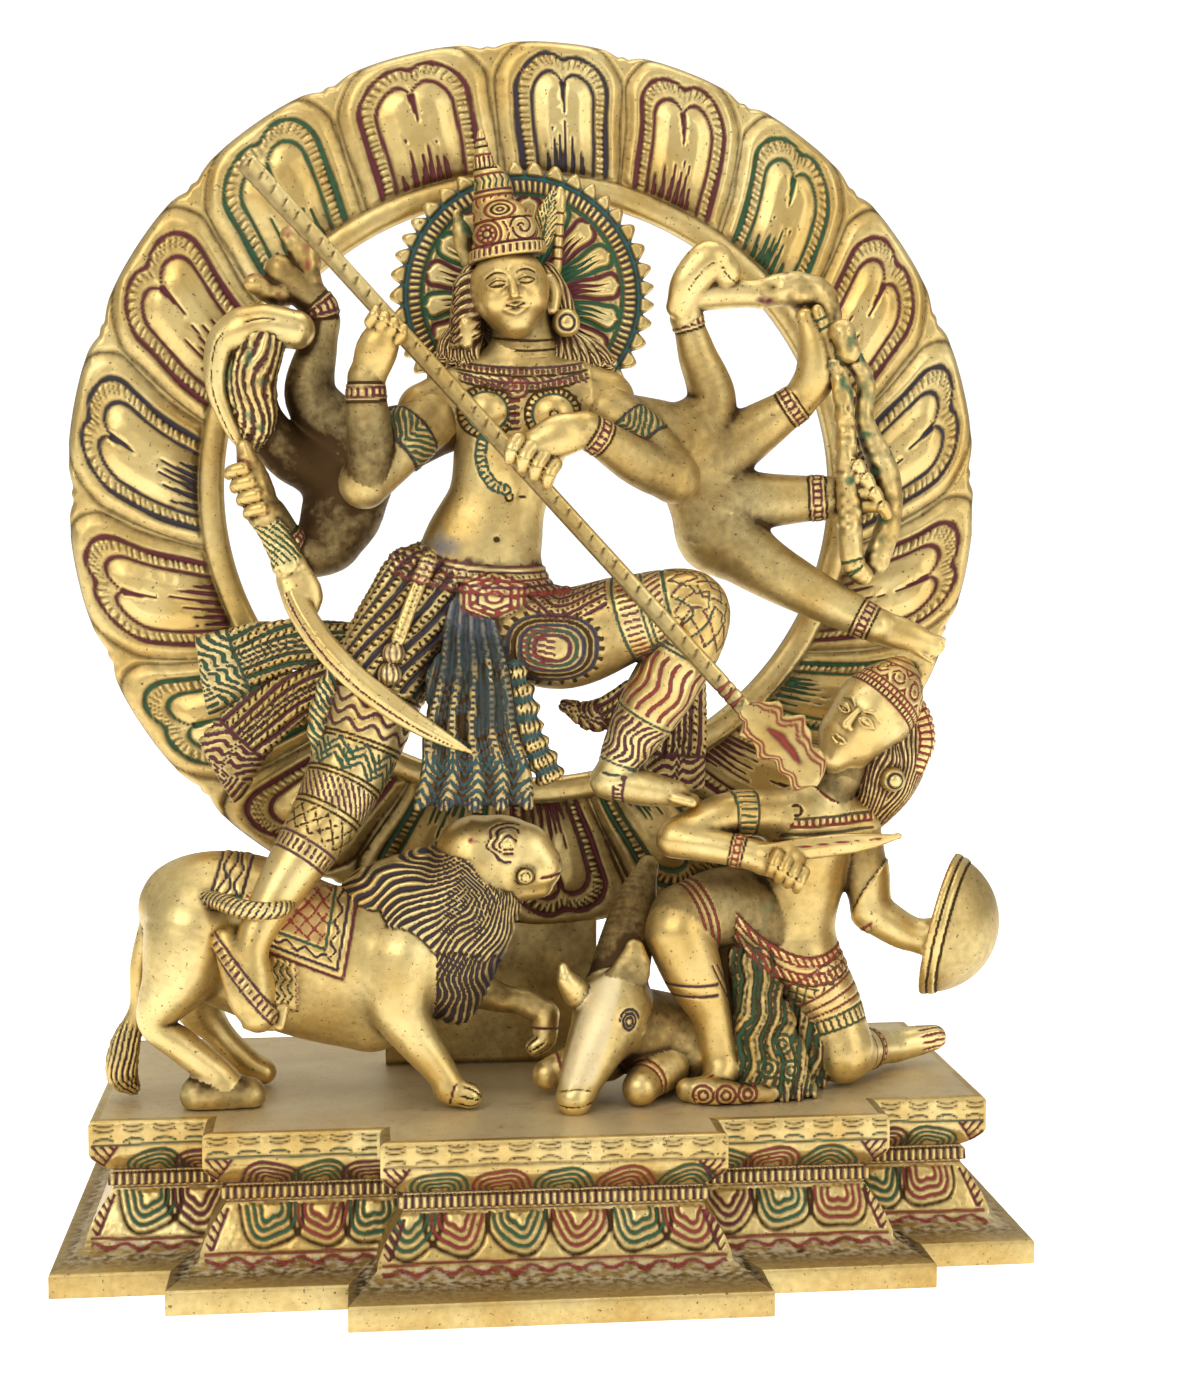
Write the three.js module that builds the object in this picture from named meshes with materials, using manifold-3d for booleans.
// A cast brass group: a ten-armed goddess with one foot on her lion and the other on a kneeling
// demon who rises out of a buffalo, in front of a ring of eighteen petals, on a stepped lotus plinth.
// Millimetres, +Z up, the viewer looks along +Y. The origin is under the middle of the bounding box.
import * as THREE from "three";
import { mergeVertices } from "three/addons/utils/BufferGeometryUtils.js";
import Module from "manifold-3d";

const wasm = await Module();
wasm.setup();

// Driving sizes of the plinth.
const PLINTH_HEIGHT = 46.5; // floor to the top slab's upper face
const FLANGE_THICKNESS = 7.2;
const SLAB_THICKNESS = 9.5;
const SLAB_HALF_WIDTH = 138;
const SLAB_STEPS_X = [51, 103]; // half widths of the middle bay and of the pair beside it
const SLAB_FRONT_Y = [-58.5, -43.5, -26]; // front faces, from the middle bay outwards
const SLAB_BACK_Y = 79;
const FLANGE_SIDE = 9.5; // how far the flange stands out beyond the slab
const FLANGE_FRONT = [25, 21.5, 21.5];
const FLANGE_BACK = 4.5;
const LOTUS_PITCH = 19;
const LOWER_LOTUS_HEIGHT = 9.5;
const UPPER_LOTUS_HEIGHT = 6;
const LOTUS_BULGE = 3;

// Driving sizes of the petal ring.
const RING_OVERHANG = 1; // how far the petals reach past the plinth's flange on each side
const RING_HALF_HEIGHT = 144;
const RING_TOP_Z = 380;
const RING_DEPTH = 41.5; // from the petal tips in to the band's outer edge
const BAND_WIDTH = 8;
const BAND_THICKNESS = 7;
const PETAL_THICKNESS = 4;
const PETAL_COUNT = 18;
const PETAL_LEAN = THREE.MathUtils.degToRad(4.7); // the petals crowd towards the right
const PANEL_CENTRE_X = -13.5;
const PANEL_HALF_WIDTH = 35;
const PANEL_THICKNESS = 6;

// Driving sizes of the figures. Every pose below is drawn in units above the plinth's top, with
// POSE_UNIT_COUNT units from there to the crown's tip.
const GROUP_HEIGHT = 298;
const POSE_UNIT_COUNT = 298;
const SHAFT_RADIUS = 2.6;
const TRIDENT_THICKNESS = 4;
const CLEARANCE = 0.35; // between two castings that meet
const HALO_RADIUS = 42.5;
const HALO_THICKNESS = 3;
const HALO_TEETH = 24;

const K = GROUP_HEIGHT / POSE_UNIT_COUNT;
const GROUP_BACK_Y = 27 * K; // the rearmost point of the figures
const RING_GAP = 3; // between the figures and the ring's front face
const RING_HALF_WIDTH = SLAB_HALF_WIDTH + FLANGE_SIDE + RING_OVERHANG;
const RING_FRONT_Y = GROUP_BACK_Y + RING_GAP;
const RING_CENTRE_Z = RING_TOP_Z - RING_HALF_HEIGHT;

// Turns a closed three.js geometry into a solid that can be joined and cut.
function solid(geometry) {
  const bare = geometry.clone();
  bare.deleteAttribute("normal");
  bare.deleteAttribute("uv");
  const merged = mergeVertices(bare, 1e-4);
  const mesh = new wasm.Mesh({
    numProp: 3,
    vertProperties: new Float32Array(merged.attributes.position.array),
    triVerts: new Uint32Array(merged.index.array),
  });
  mesh.merge();
  return new wasm.Manifold(mesh);
}

const join = (solids) => solids.reduce((a, b) => a.add(b));

function geometryOf(shape) {
  const mesh = shape.getMesh();
  const n = mesh.numProp;
  const position = new Float32Array(mesh.numVert * 3);
  for (let i = 0; i < mesh.numVert; i++) {
    position.set(mesh.vertProperties.subarray(i * n, i * n + 3), i * 3);
  }
  const geometry = new THREE.BufferGeometry();
  geometry.setAttribute("position", new THREE.BufferAttribute(position, 3));
  geometry.setIndex(new THREE.BufferAttribute(new Uint32Array(mesh.triVerts), 1));
  geometry.computeVertexNormals();
  return geometry;
}

// Skins a list of equal rings of points, each an array of Vector3, and closes both ends on a point.
function skin(rings, first, last) {
  const points = [first, ...rings.flat(), last];
  const n = rings[0].length;
  const index = [];
  for (let j = 0; j < n; j++) {
    const k = (j + 1) % n;
    index.push(0, 1 + k, 1 + j);
    for (let i = 0; i + 1 < rings.length; i++) {
      const a = 1 + i * n;
      const b = a + n;
      index.push(a + j, a + k, b + k, a + j, b + k, b + j);
    }
    const end = 1 + (rings.length - 1) * n;
    index.push(end + j, end + k, points.length - 1);
  }
  const geometry = new THREE.BufferGeometry().setFromPoints(points);
  geometry.setIndex(index);
  return geometry;
}

// A limb: a tube through [x, y, z, radius] stations, squeezed front to back by flat and made
// thicker all over by grow. Both ends come to a point, as long as tips says in radii.
function limb(stations, { sides = 6, flat = 1, grow = 0, tips = [0.8, 0.8] } = {}) {
  const centres = stations.map(([x, y, z]) => place(x, y, z));
  const radii = stations.map((station) => station[3] * K + grow);
  const curve = new THREE.CatmullRomCurve3(centres, false, "centripetal");
  const last = stations.length - 1;
  const rings = centres.map((centre, i) => {
    const tangent = curve.getTangent(i / last);
    const { across, depth } = sectionAxes(tangent);
    return Array.from({ length: sides }, (_, j) => {
      const angle = (2 * Math.PI * j) / sides;
      return centre
        .clone()
        .addScaledVector(across, radii[i] * Math.cos(angle))
        .addScaledVector(depth, -radii[i] * flat * Math.sin(angle));
    });
  });
  const start = centres[0].clone().addScaledVector(curve.getTangent(0), -radii[0] * tips[0]);
  const end = centres[last].clone().addScaledVector(curve.getTangent(1), radii[last] * tips[1]);
  return solidOrFlip(skin(rings, start, end));
}

// The axes of a limb's section: depth is as near to +Y as the limb's direction allows.
function sectionAxes(tangent) {
  const steep = 0.1;
  const depth = new THREE.Vector3(0, 1, 0).addScaledVector(tangent, -tangent.y);
  if (depth.length() < steep) depth.set(0, 0, 1).addScaledVector(tangent, -tangent.z);
  depth.normalize();
  return { across: new THREE.Vector3().crossVectors(tangent, depth), depth };
}

// Builds a solid, turning the faces round if the skin was wound inwards.
function solidOrFlip(geometry) {
  const shape = solid(geometry);
  if (shape.volume() >= 0) return shape;
  const index = geometry.index.array;
  for (let i = 0; i < index.length; i += 3) {
    [index[i + 1], index[i + 2]] = [index[i + 2], index[i + 1]];
  }
  return solid(geometry);
}

// A point of a pose, on the plinth's top.
function place(x, y, z) {
  return new THREE.Vector3(x * K, y * K, PLINTH_HEIGHT + z * K);
}

// An egg: a sphere stretched to three half sizes and turned about Y by tilt degrees.
function egg([x, y, z], [rx, ry, rz], { tilt = 0, columns = 6, rows = 5 } = {}) {
  const geometry = new THREE.SphereGeometry(1, columns, rows);
  geometry.scale(rx * K, rz * K, ry * K);
  geometry.rotateX(Math.PI / 2);
  geometry.rotateY(THREE.MathUtils.degToRad(tilt));
  const at = place(x, y, z);
  geometry.translate(at.x, at.y, at.z);
  return solidOrFlip(geometry);
}

// The plinth's plan: a front stepped in five bays, grown by side, front and back.
function steppedPlan(side, front, back) {
  const [innerX, middleX] = SLAB_STEPS_X;
  const [middleY, sideY, outerY] = SLAB_FRONT_Y.map((y, i) => y - front[i]);
  const right = [
    [innerX + side, middleY],
    [innerX + side, sideY],
    [middleX + side, sideY],
    [middleX + side, outerY],
    [SLAB_HALF_WIDTH + side, outerY],
    [SLAB_HALF_WIDTH + side, SLAB_BACK_Y + back],
  ];
  const left = right.map(([x, y]) => [-x, y]).reverse();
  return [...right, ...left].map(([x, y]) => new THREE.Vector2(x, y));
}

// A solid stacked from outlines of equal length, as [z, outline] levels from the bottom up.
function stack(levels) {
  const n = levels[0][1].length;
  const points = levels.flatMap(([z, outline]) =>
    outline.map((p) => new THREE.Vector3(p.x, p.y, z)),
  );
  const index = [];
  for (let i = 0; i + 1 < levels.length; i++) {
    for (let j = 0; j < n; j++) {
      const k = (j + 1) % n;
      const a = i * n;
      const b = a + n;
      index.push(a + j, a + k, b + k, a + j, b + k, b + j);
    }
  }
  const top = (levels.length - 1) * n;
  for (const [a, b, c] of THREE.ShapeUtils.triangulateShape(levels[0][1], [])) {
    index.push(a, c, b, top + a, top + b, top + c);
  }
  const geometry = new THREE.BufferGeometry().setFromPoints(points);
  geometry.setIndex(index);
  return solidOrFlip(geometry);
}

// The plinth's moulding from the flange up to the slab: a foot, a flared lotus, a waist and a
// second lotus, as a share of the moulding's height and an offset from the slab's outline.
const MOULDING = [
  [0, 4.2],
  [0.05, 1.8],
  [0.13, 1.4],
  [0.57, -5.8],
  [0.6, -5],
  [0.72, -5],
  [0.75, -6.4],
  [1, 0],
];
const LOWER_LOTUS_SHARE = 0.34;
const UPPER_LOTUS_SHARE = 0.875;
const MOULDING_TOP_Z = PLINTH_HEIGHT - SLAB_THICKNESS;
const mouldingZ = (share) => THREE.MathUtils.lerp(FLANGE_THICKNESS, MOULDING_TOP_Z, share);

// The slab's plan grown by offset, but never past the flange's back.
function slabPlan(offset) {
  return steppedPlan(offset, [offset, offset, offset], Math.min(offset, FLANGE_BACK));
}

// Offset of the moulding at a share of its height.
function mouldingOffset(share) {
  const i = MOULDING.findIndex(([s]) => s >= share);
  const [s0, o0] = MOULDING[i - 1];
  const [s1, o1] = MOULDING[i];
  return THREE.MathUtils.mapLinear(share, s0, s1, o0, o1);
}

// One row of lotus bosses on the five front bays.
function lotusRow(share, height) {
  const [innerX, middleX] = SLAB_STEPS_X;
  const [middleY, sideY, outerY] = SLAB_FRONT_Y;
  const bays = [
    [-innerX, innerX, middleY],
    [innerX, middleX, sideY],
    [-middleX, -innerX, sideY],
    [middleX, SLAB_HALF_WIDTH, outerY],
    [-SLAB_HALF_WIDTH, -middleX, outerY],
  ];
  const bossShare = 0.44; // of the pitch, on each side of the boss's middle
  const bosses = [];
  for (const [x0, x1, y] of bays) {
    const count = Math.max(1, Math.round((x1 - x0) / LOTUS_PITCH));
    const pitch = (x1 - x0) / count;
    for (let i = 0; i < count; i++) {
      const boss = new THREE.SphereGeometry(1, 6, 3);
      boss.scale(pitch * bossShare, LOTUS_BULGE, height / 2);
      const faceY = y - mouldingOffset(share) + LOTUS_BULGE / 4;
      boss.translate(x0 + pitch * (i + 0.5), faceY, mouldingZ(share));
      bosses.push(solidOrFlip(boss));
    }
  }
  return bosses;
}

function makePlinth() {
  const flangePlan = steppedPlan(FLANGE_SIDE, FLANGE_FRONT, FLANGE_BACK);
  const flange = stack([
    [0, flangePlan],
    [FLANGE_THICKNESS, flangePlan],
  ]);
  const body = stack([
    [FLANGE_THICKNESS / 2, slabPlan(MOULDING[0][1])],
    ...MOULDING.map(([share, offset]) => [mouldingZ(share), slabPlan(offset)]),
    [PLINTH_HEIGHT, slabPlan(0)],
  ]);
  const lowerRow = lotusRow(LOWER_LOTUS_SHARE, LOWER_LOTUS_HEIGHT);
  const upperRow = lotusRow(UPPER_LOTUS_SHARE, UPPER_LOTUS_HEIGHT);
  return join([flange, body, ...lowerRow, ...upperRow]);
}

// A point of the ring: psi runs evenly from petal to petal, inset is measured in from the tips.
function ringPoint(psi, inset) {
  const angle = psi - PETAL_LEAN * Math.sin(psi);
  return new THREE.Vector2(
    (RING_HALF_WIDTH - inset) * Math.cos(angle),
    (RING_HALF_HEIGHT - inset) * Math.sin(angle),
  );
}

const petalPsi = (k) => Math.PI / 2 + (2 * Math.PI * k) / PETAL_COUNT;
const halfPetalPsi = Math.PI / PETAL_COUNT;

// Extrudes a shape drawn in the ring's own plane so that it runs from frontY back by thickness.
function upright(shape, frontY, thickness) {
  const geometry = new THREE.ExtrudeGeometry(shape, { depth: thickness, bevelEnabled: false });
  geometry.rotateX(Math.PI / 2);
  geometry.translate(0, frontY + thickness, RING_CENTRE_Z);
  return solidOrFlip(geometry);
}

// A closed line round the ring, with the given dip between each two petals.
function ringOutline(inset, perPetal, notch) {
  const points = [];
  for (let k = 0; k < PETAL_COUNT; k++) {
    for (let i = 0; i < perPetal; i++) {
      const u = (2 * i) / perPetal - 1;
      const dip = notch * Math.pow(Math.abs(u), 4);
      points.push(ringPoint(petalPsi(k) + u * halfPetalPsi, inset + dip));
    }
  }
  return points;
}

// The raised field of one petal: an arch with a cleft at its top.
function petalField(k) {
  const fieldTop = 8;
  const fieldFoot = RING_DEPTH - 2;
  const halfWidth = 0.74; // as a share of the petal's own half width
  const footWidth = 0.92; // as a share of the field's
  const shoulderDrop = 9;
  const cleft = 3.2;
  const cleftWidth = 0.16;
  const points = [];
  for (const u of [-1, -0.72, -0.25, 0, 0.25, 0.72, 1]) {
    const shoulder = shoulderDrop * Math.pow(Math.abs(u), 4);
    const dent = cleft * Math.exp(-Math.pow(u / cleftWidth, 2));
    const psi = petalPsi(k) + u * halfWidth * halfPetalPsi;
    points.push(ringPoint(psi, fieldTop + shoulder + dent));
  }
  for (const side of [1, -1]) {
    const psi = petalPsi(k) + side * halfWidth * footWidth * halfPetalPsi;
    points.push(ringPoint(psi, fieldFoot));
  }
  return new THREE.Shape(points);
}

// The foot panel, from just above the plinth up into the petals.
function panelShape() {
  const left = PANEL_CENTRE_X - PANEL_HALF_WIDTH;
  const right = PANEL_CENTRE_X + PANEL_HALF_WIDTH;
  const foot = PLINTH_HEIGHT + CLEARANCE - RING_CENTRE_Z;
  const top = RING_DEPTH / 2 - RING_HALF_HEIGHT;
  return new THREE.Shape([
    new THREE.Vector2(left, foot),
    new THREE.Vector2(right, foot),
    new THREE.Vector2(right, top),
    new THREE.Vector2(left, top),
  ]);
}

function makeAureole() {
  const bandBack = 1; // how far the band stands out behind the petals
  const petalsFrontY = RING_FRONT_Y + BAND_THICKNESS - PETAL_THICKNESS - bandBack;
  const fieldRise = 1.6;
  const panelSetBack = 0.5;
  const notch = 3.5;
  const sheet = new THREE.Shape(ringOutline(0, 5, notch));
  sheet.holes.push(new THREE.Path(ringOutline(RING_DEPTH + BAND_WIDTH / 2, 2, 0)));
  const band = new THREE.Shape(ringOutline(RING_DEPTH, 2, 0));
  band.holes.push(new THREE.Path(ringOutline(RING_DEPTH + BAND_WIDTH, 2, 0)));
  const pieces = [
    upright(sheet, petalsFrontY, PETAL_THICKNESS),
    upright(band, RING_FRONT_Y, BAND_THICKNESS),
    upright(panelShape(), petalsFrontY + panelSetBack, PANEL_THICKNESS),
  ];
  for (let k = 0; k < PETAL_COUNT; k++) {
    pieces.push(upright(petalField(k), petalsFrontY - fieldRise, fieldRise + PETAL_THICKNESS / 2));
  }
  return join(pieces);
}

// The pole of the trident: a straight shaft from its tail to the neck of its flame-shaped head.
const SHAFT_TAIL = [-89, -11.5, 287, SHAFT_RADIUS];
const SHAFT_NECK = [60, -28, 123, SHAFT_RADIUS];
const TRIDENT_TIP = [82, -30.5, 99];

function shaft(grow) {
  return limb([SHAFT_TAIL, SHAFT_NECK], { grow, tips: [0.2, 0.2] });
}

// The trident's head: a flat flame with wavy edges and three points, in the shaft's own line.
function tridentHead() {
  const neck = place(...SHAFT_NECK);
  const tip = place(...TRIDENT_TIP);
  const along = tip.clone().sub(neck);
  const length = along.length();
  const outline = [
    [-0.1, 2.4],
    [0.03, 3.4],
    [0.17, 9.8],
    [0.31, 7.7],
    [0.45, 12.3],
    [0.71, 7.9],
    [0.88, 8.9],
    [0.91, -2.7],
    [0.9, -5.6],
    [0.57, -4.6],
    [0.42, -7.3],
    [0.26, -4.7],
    [0.16, -7.6],
    [0.1, -3],
    [-0.1, -2.4],
  ]; // share of the length, distance to the upper side of the shaft's line
  const shape = new THREE.Shape(outline.map(([s, w]) => new THREE.Vector2(s * length, w * K)));
  const depth = TRIDENT_THICKNESS;
  const geometry = new THREE.ExtrudeGeometry(shape, { depth, bevelEnabled: false });
  geometry.translate(0, 0, -depth / 2);
  const x = along.clone().normalize();
  const z = new THREE.Vector3(0, -1, 0).addScaledVector(x, x.y).normalize();
  const y = new THREE.Vector3().crossVectors(z, x);
  geometry.applyMatrix4(new THREE.Matrix4().makeBasis(x, y, z).setPosition(neck));
  return solidOrFlip(geometry);
}

// The figures are lists of limbs, each a row of [x, y, z, radius] stations in the pose's millimetres.
const GODDESS_TRUNK = {
  hips: [[-28, 4, 157, 14], [-10, 4, 155, 14.5]],
  belly: [
    [-20, 5, 161, 18.5], [-17.5, 4, 171, 18], [-13, 4, 185, 15.5], [-9, 4, 199, 17],
    [-6.5, 5, 212, 19],
  ],
  shoulders: [[-33, 2, 214, 8], [-18, 4, 221, 9.5], [6, 4, 221, 9.5], [21, 2, 215, 8]],
};
const GODDESS_LEGS = {
  rightThigh: [[-33, 4, 157, 15.5], [-47, 0, 133, 15.5], [-57.5, -5, 108, 13]],
  rightShin: [[-57.5, -5, 109, 12.5], [-67, -12, 88, 10.5], [-80, -20, 67, 7.5], [-88, -25, 53, 5]],
  rightFoot: [[-88.5, -25.5, 52, 5.2], [-87, -26.5, 40, 5.6], [-84.5, -27, 30, 4.2]],
  leftThigh: [[-14, 4, 149, 15.5], [6, -2, 143, 16], [27, -9, 149, 13.5], [46, -13, 153, 11]],
  leftShin: [
    [46, -13, 151, 10.5], [41, -12, 135, 10.5], [32, -10, 119, 9.5], [25, -8, 106, 7],
    [23, -8, 100, 6],
  ],
  leftFoot: [[22, -7, 98, 5.5], [33, -11, 96.5, 4.4], [44, -15, 94.5, 3]],
};
const GODDESS_ARMS = {
  rightFrontArm: [[-34, 0, 213, 8.5], [-44, -4, 202, 9], [-54, -8, 191, 7.8]],
  rightForearm: [
    [-54.5, -9, 191, 7.5], [-54.5, -13, 204, 6.8], [-53, -15, 215, 6], [-49.5, -16, 230, 6.5],
  ],
  leftFrontArm: [[22, 0, 214, 8.5], [32, -4, 204, 9], [41, -8, 193, 7.6]],
  leftForearm: [[41, -9, 193, 7.2], [30, -13, 198, 6.6], [18, -18, 203.5, 5.8], [9, -21, 204, 6]],
  rightFan: [[-38, 10, 210, 9.5], [-56, 13, 198, 12.5], [-62, 13, 184, 12.5], [-66, 11, 173, 9]],
  leftFan: [[26, 10, 212, 9.5], [46, 13, 203, 12.5], [54, 14, 190, 12.5], [58, 12, 174, 12.5]],
  rightUp: [
    [-60, 13, 200, 11], [-69.5, 13, 217, 8.3], [-67.5, 12, 233, 6], [-68, 10, 245, 5.4],
    [-76, 8, 254, 5.6],
  ],
  rightShell: [[-60, 13, 194, 11], [-74, 11, 199, 8.3], [-84.5, 7, 209, 6.5], [-88, 4, 222, 6.5]],
  rightSword: [[-62, 12, 182, 11], [-70, 9, 171, 8.4], [-77, 2, 172, 6], [-82, -3, 180, 5]],
  leftShell: [
    [48, 13, 203, 11], [56, 12, 217, 8], [49, 9, 240, 5.2], [55, 7, 249, 4.8], [71, 8, 251, 4],
  ],
  leftUp: [
    [54, 14, 196, 11], [70, 12, 208, 8.2], [85, 8, 218, 5.8], [91, 6, 228, 5.4],
    [88.5, 5, 241, 3.2],
  ],
  leftBow: [[56, 14, 186, 11], [75, 12, 186, 8.6], [96, 8, 187, 6.9], [107, 7, 190, 5.8]],
  leftOpen: [
    [57, 13, 176, 11.5], [76, 8, 163, 9], [99, 0, 150.5, 6.5], [113, -4, 144, 5.2],
    [127, -6, 139.5, 2.4],
  ],
};

// What the hands hold, apart from the trident.
const HELD = {
  rightShell: [[-89, 3, 212, 4], [-91, 3, 229, 6.8], [-87, 3, 240, 7.2], [-72, 2, 237, 5.6]],
  leftShell: [[47, 6, 240, 3.6], [51, 4, 249, 6], [57, 3, 257, 6], [60, 4, 266, 3]],
  topHand: [[-70, 8, 252, 4.5], [-83, 7, 248, 4], [-72, 9, 262, 5]],
  swordHilt: [[-90, -3, 201, 2.6], [-86, -3, 186, 5.8], [-77, -4, 165, 4.8], [-75, -5, 155, 5.5]],
  bowStave: [[88, 3, 243, 2.6], [95, 2, 229, 3], [98.5, 1, 186, 3.6], [100, 1, 166, 4.2]],
  bowBack: [[97, 3, 234, 3], [105, 4, 212, 3.4], [111.5, 4, 190, 4.8], [105, 4, 163, 4.6]],
};

// The scimitar's blade along its middle line, with its half width.
const BLADE = [
  [-76, -5, 160, 4.5],
  [-70, -6, 148, 6.4],
  [-60, -8, 138, 6.8],
  [-44, -10, 125, 5.2],
  [-32, -12, 116, 3.2],
  [-22, -13, 110.5, 0.8],
];

// Hanging cloth: fans that are much wider than they are deep, and cut off square at the hem.
const DRAPERY = {
  skirtFan: [
    [-20.5, -12, 148, 8], [-22.5, -16, 125, 13], [-21, -18, 107, 16], [-18.5, -18.5, 92, 18],
  ],
  sashUpper: [[-52, 8, 144, 5], [-79, 12, 140.5, 8], [-93, 14, 136, 11], [-104, 14, 132, 13]],
  sashLower: [[-52, 8, 136, 4.5], [-78, 12, 123.5, 7.5], [-93, 14, 111, 10], [-100, 14, 101, 11]],
  sashRight: [[44, -3, 148, 6], [45.5, 6, 122, 8.2], [43, 7, 94, 10]],
  sashMiddle: [[31, -3, 126, 5.5], [19, 6, 118, 5.4], [9, 8, 121, 2.5]],
};
const DRAPERY_FLATNESS = 0.34;

const HALO_CENTRE = [-5, 18, 250.5];
const GODDESS_CROWN = [
  [-8.5, 1, 260, 11.8], [-9.5, 2, 269, 10.6], [-12, 3, 281, 6.8], [-14.5, 3, 291, 3.6],
  [-16, 3, 296, 1.4],
];

function haloDisc() {
  const toothDepth = 3.5;
  const shape = new THREE.Shape();
  for (let i = 0; i < HALO_TEETH * 2; i++) {
    const angle = (Math.PI * i) / HALO_TEETH;
    const radius = HALO_RADIUS - (i % 2 ? 0 : toothDepth);
    const point = new THREE.Vector2(Math.cos(angle), Math.sin(angle)).multiplyScalar(radius * K);
    if (i === 0) shape.moveTo(point.x, point.y);
    else shape.lineTo(point.x, point.y);
  }
  shape.closePath();
  const geometry = new THREE.ExtrudeGeometry(shape, { depth: HALO_THICKNESS, bevelEnabled: false });
  geometry.rotateX(Math.PI / 2);
  const centre = place(...HALO_CENTRE);
  geometry.translate(centre.x, centre.y + HALO_THICKNESS / 2, centre.z);
  return solidOrFlip(geometry);
}

// The head with its nose, ears, earrings, crown and side locks, and the halo on its stub.
function goddessHead() {
  return [
    limb([[-7, 5, 222, 8.5], [-7.5, 3, 236, 7.5]]),
    egg([-7.5, -1, 250], [13, 12.5, 14.8], { columns: 8, rows: 6 }),
    egg([-7.5, -13.5, 249], [1.8, 2.4, 4], { columns: 4, rows: 3 }),
    egg([7.5, 3, 241], [4, 3.4, 5], { rows: 4 }),
    egg([-20.5, 3, 240], [3.6, 3.4, 5], { rows: 4 }),
    limb(GODDESS_CROWN, { sides: 7 }),
    limb([[-18, 10, 236, 7], [-24, 9, 226, 7.5], [-27, 7, 220, 4]]),
    limb([[4, 10, 238, 7], [12, 9, 228, 7.5], [17, 7, 221, 4]]),
    limb([[-8, 9, 236, 9], [-7, 17, 240, 7]]),
    haloDisc(),
  ];
}

const limbs = (figure, options) => Object.values(figure).map((stations) => limb(stations, options));

function makeGoddess() {
  const pieces = [
    ...limbs(GODDESS_TRUNK, { sides: 8, flat: 0.76 }),
    ...limbs(GODDESS_LEGS),
    ...limbs(GODDESS_ARMS, { sides: 5 }),
    ...limbs(HELD, { sides: 4 }),
    ...limbs(DRAPERY, { sides: 5, flat: DRAPERY_FLATNESS, tips: [0.5, 0.1] }),
    ...goddessHead(),
    limb(BLADE, { flat: 0.32 }),
    egg([-19, -7, 211.5], [8.4, 8, 8.2]),
    egg([7, -7, 212.5], [8.4, 8, 8.2]),
    egg([-47, -16.5, 238], [6.4, 6, 8], { tilt: 10 }),
    egg([3, -21.5, 201.5], [8, 5.4, 6], { tilt: 20 }),
  ];
  return join(pieces).subtract(shaft(CLEARANCE));
}

const LION_TRUNK = {
  body: [
    [-124, -1, 51, 8], [-115, -1, 52, 14.5], [-97, -2, 48.5, 18.5], [-76, -3, 44.5, 20],
    [-56, -3, 42, 20.5], [-40, -3, 45, 21], [-31, -4, 52, 18.5],
  ],
  mane: [[-38, -4, 48, 18.5], [-28, -5, 60, 17], [-20, -7, 73, 13.5]],
  maneFront: [[-27, -6, 35, 11], [-23, -7, 47, 14], [-19, -7, 64, 13]],
  skull: [[-19, -8, 75, 12.3], [-12, -9, 76.5, 11]],
  muzzle: [[-10, -10, 73.5, 9.6], [-1.5, -11, 71, 8.6]],
};
const LION_LIMBS = {
  nearForeleg: [
    [-43, -15, 44, 11], [-46, -17, 30, 8.5], [-41.5, -19, 21, 5.6], [-32, -20, 17.5, 4.6],
    [-30, -21, 9, 4.4],
  ],
  nearPaw: [[-30, -21, 6.5, 4.4], [-25, -23, 4.6, 4.3]],
  farForeleg: [[-32, 8, 36, 9.5], [-14, 6, 27.5, 4.6], [2, 3, 23.5, 4], [1.5, 2, 14, 3.2]],
  nearHindleg: [
    [-108, -12, 50, 13], [-115, -14, 36, 9.2], [-120, -14, 27, 4.8], [-110, -14, 19.5, 5.2],
    [-98, -13, 9, 5],
  ],
  farHindleg: [
    [-106, 9, 46, 12], [-108, 11, 28, 8.2], [-102, 12, 18, 4.6], [-93, 12, 8, 4.2],
    [-87, 12, 4.4, 4],
  ],
  tail: [
    [-121, 0, 57, 3.4], [-125, 0, 42, 2.9], [-125.5, 0, 28, 2.6], [-130, 0, 16, 4.2],
    [-130.5, 0, 8, 4.6], [-128, 0, 4.2, 3],
  ],
};

// What rests on the plinth is cut off flat just above it.
const onPlinth = (shape) => shape.subtract(plinthCutter());

function plinthCutter() {
  const reach = 400;
  const block = new THREE.BoxGeometry(reach, reach, PLINTH_HEIGHT);
  block.translate(0, 0, PLINTH_HEIGHT / 2 + CLEARANCE);
  return solidOrFlip(block);
}

function makeLion() {
  const lion = join([
    ...limbs(LION_TRUNK, { sides: 8, flat: 0.9 }),
    ...limbs(LION_LIMBS, { sides: 5 }),
    egg([-99, -13, 5.6], [11, 8.5, 5.4]),
    egg([-14, -18, 80], [4, 4, 4], { rows: 4 }),
    egg([-27, -12, 82], [4.5, 4, 4.5], { rows: 4 }),
    egg([-27, 3, 82], [4.5, 4, 4.5], { rows: 4 }),
  ]);
  const { rightShin, rightFoot } = GODDESS_LEGS;
  const riderLeg = limbs({ rightShin, rightFoot }, { grow: CLEARANCE });
  return onPlinth(lion.subtract(join(riderLeg)));
}

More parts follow.
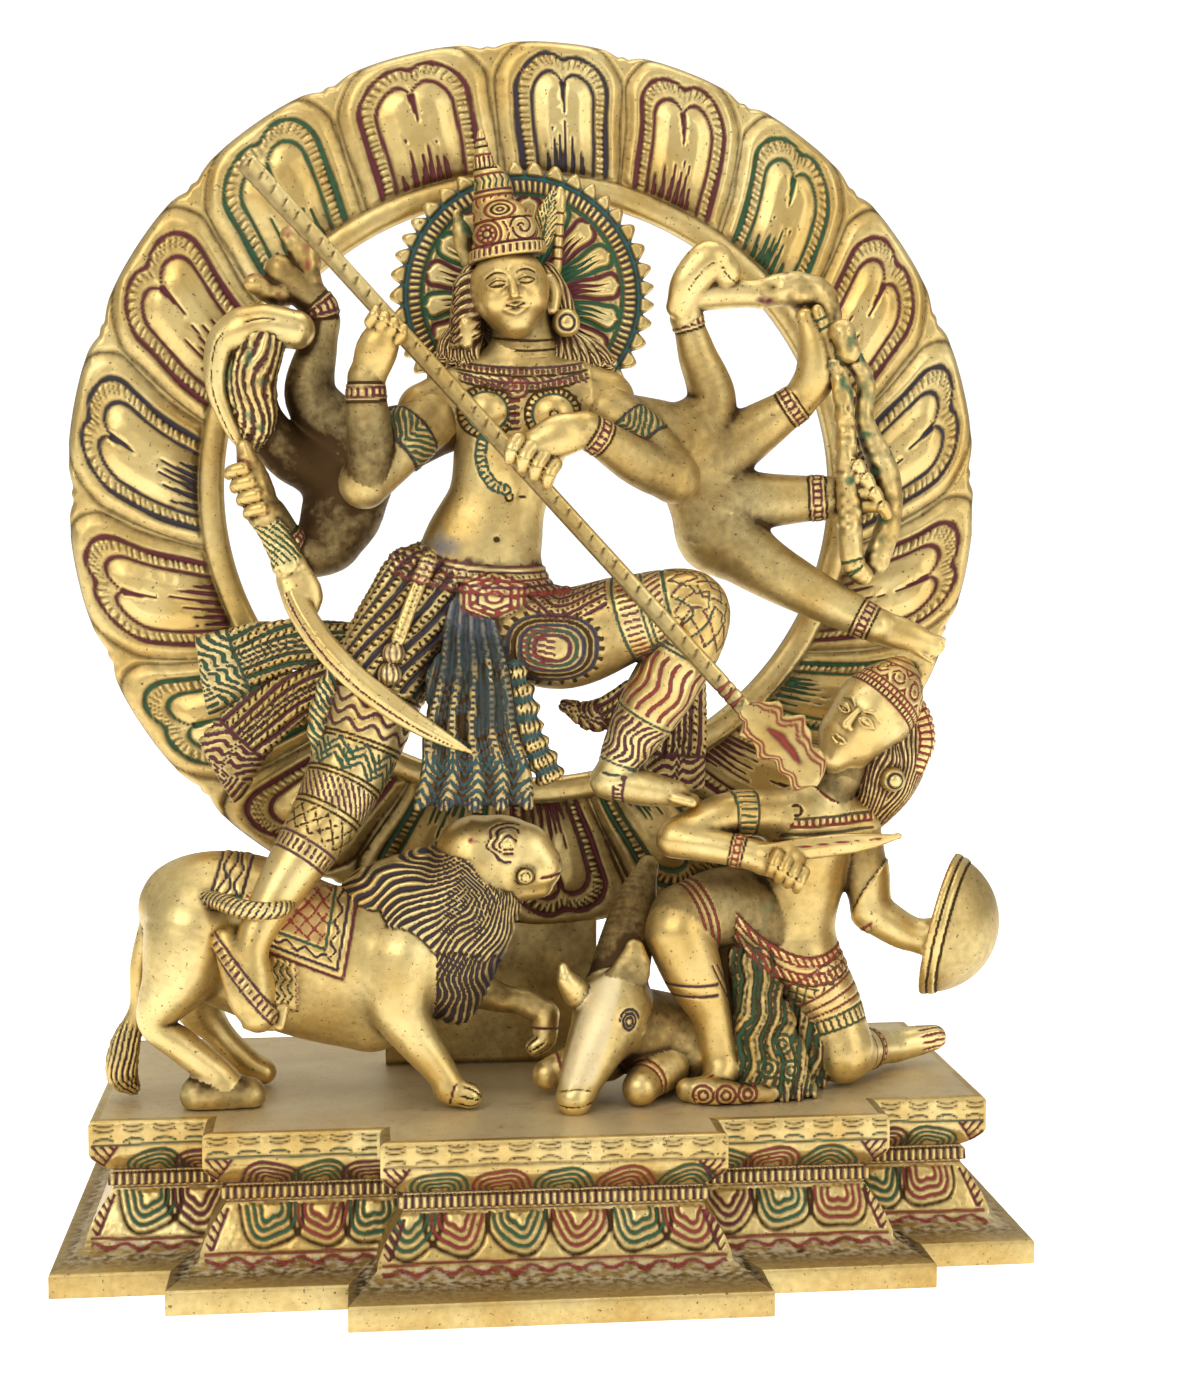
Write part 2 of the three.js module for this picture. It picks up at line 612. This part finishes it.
const BUFFALO = {
  head: [[21, -20, 27, 11], [16, -26, 18, 9], [11, -31, 9.5, 6.8], [8, -33, 6.8, 6.2]],
  longHorn: [[25, -14, 33, 6.4], [28, -8, 48, 5.2], [32.5, -2, 63, 4], [36, 1, 70, 2.6]],
  shortHorn: [[10, -20, 33, 4.2], [6.5, -21, 38, 3.2], [5, -21, 42, 1.8]],
  body: [[22, -17, 24, 11], [33, -6, 18, 13.5], [48, -1, 13, 15], [64, 2, 12, 15], [80, 5, 9, 11]],
  nearHoof: [[38, -12, 9, 8.5], [30, -25, 6.8, 6.4]],
  farHoof: [[27, -4, 13, 9], [5, -6, 6.5, 6]],
};
const DEMON_TRUNK = {
  torso: [
    [83.5, -3, 38, 12.5], [81, -4, 53, 13], [84, -6, 67, 12.5], [84, -9, 80, 14],
    [87, -10, 90, 11],
  ],
  shoulders: [[74, -10, 87, 7.5], [86, -10, 90, 9], [99, -7, 84, 8]],
};
const DEMON_LIMBS = {
  leftThigh: [[76, -1, 51, 13], [58, -6, 57, 12.4], [43, -11, 53.5, 11.6]],
  leftShin: [[43, -12, 52, 10.4], [48.5, -14, 36, 8.4], [54, -15, 23.5, 5.8], [56, -15, 12, 6.2]],
  leftFoot: [[56, -16, 9, 6], [50, -21, 4.8, 4.6]],
  neck: [[90, -11, 92, 7.6], [99, -12, 102, 7.4]],
  leftArm: [[74, -11, 88, 7.4], [57, -14, 88.5, 6.6], [40, -15, 81.5, 5.6]],
  leftForearm: [[40, -16, 80.5, 5.6], [49, -19, 80, 5.3], [60, -22, 78, 4.8], [72, -24, 75.5, 6]],
  rightArm: [[99, -6, 84, 8], [103, -6, 69, 7.4], [105, -7, 57, 6.2]],
  rightForearm: [[105, -7, 56.5, 6.2], [114.5, -9, 50, 5.3], [124, -11, 47.5, 5.6]],
  shieldGrip: [[124, -11, 47.5, 5.4], [139.5, -13, 51, 4.4]],
  rightThigh: [[83, -4, 40, 12.6], [91, -5, 27, 11], [96, -7, 13, 9.6]],
  rightShin: [[96, -6, 10.2, 9.2], [109, 8, 8, 6.2], [120, 17, 6.2, 5], [131, 20, 6.6, 4.4]],
  hair: [[114, -6, 115, 11], [117, -4, 102, 9.5], [112, -3, 88, 8]],
  crown: [[114, -8, 121, 12], [121, -4, 129, 8.6], [125, 0, 133, 3.6]],
};
const LOINCLOTH = [[66, -9, 41, 5], [69, -13, 22, 8], [72, -16, 4, 11]];
const DAGGER = [[78, -25, 79, 3.4], [92, -25, 81, 3.4], [109, -25, 82, 1.1]];

// The demon's shield: a shallow dome seen from its side, hollow towards the hand.
function shield() {
  const radius = 22.5;
  const depth = 15;
  const wall = 3;
  const steps = 4;
  const rimProfile = (inset) => {
    const points = [];
    for (let i = 0; i <= steps; i++) {
      const angle = (Math.PI / 2) * (i / steps);
      const x = i === 0 ? 0 : (radius - inset) * Math.sin(angle);
      points.push(new THREE.Vector2(x * K, (depth - inset) * Math.cos(angle) * K));
    }
    return points;
  };
  const columns = 12;
  const turn = 12;
  const lean = -10;
  const profile = [...rimProfile(0), ...rimProfile(wall).reverse()];
  const geometry = new THREE.LatheGeometry(profile, columns);
  geometry.rotateZ(-Math.PI / 2);
  geometry.rotateY(THREE.MathUtils.degToRad(turn));
  geometry.rotateZ(THREE.MathUtils.degToRad(lean));
  const at = place(129, -13, 52);
  geometry.translate(at.x, at.y, at.z);
  return solidOrFlip(geometry);
}

function makeDemon() {
  const pieces = [
    ...limbs(DEMON_TRUNK, { sides: 8, flat: 0.84 }),
    ...limbs(DEMON_LIMBS, { sides: 5 }),
    ...limbs(BUFFALO),
    limb(LOINCLOTH, { flat: 0.4, tips: [0.5, 0.1] }),
    limb(DAGGER, { sides: 4, flat: 0.6 }),
    egg([108.5, -12, 113], [12.5, 12, 14], { tilt: 35, columns: 8, rows: 6 }),
    egg([98.5, -16, 114], [4, 4, 6], { tilt: 35, columns: 4, rows: 4 }),
    egg([116, -13, 103], [4, 4, 6], { rows: 4 }),
    egg([77, -25, 74], [6.5, 5, 5]),
    egg([26, -17, 34], [8, 5, 5], { tilt: 20 }),
    shield(),
  ];
  return onPlinth(join(pieces));
}

// A named mesh of one casting, in its own shade of brass.
function casting(name, shape, color) {
  const mesh = new THREE.Mesh(
    geometryOf(shape),
    new THREE.MeshStandardMaterial({ color, roughness: 0.35, metalness: 1 }),
  );
  mesh.name = name;
  return mesh;
}

const group = new THREE.Group();
group.add(
  casting("plinth", makePlinth(), 0xb8963e),
  casting("aureole", makeAureole(), 0xb8963e),
  casting("trident", join([shaft(0), tridentHead()]), 0xbd9a45),
  casting("lion", makeLion(), 0xb08a38),
  casting("demon_and_buffalo", makeDemon(), 0xb08a38),
  casting("durga", makeGoddess(), 0xbd9a45),
);

export default group;
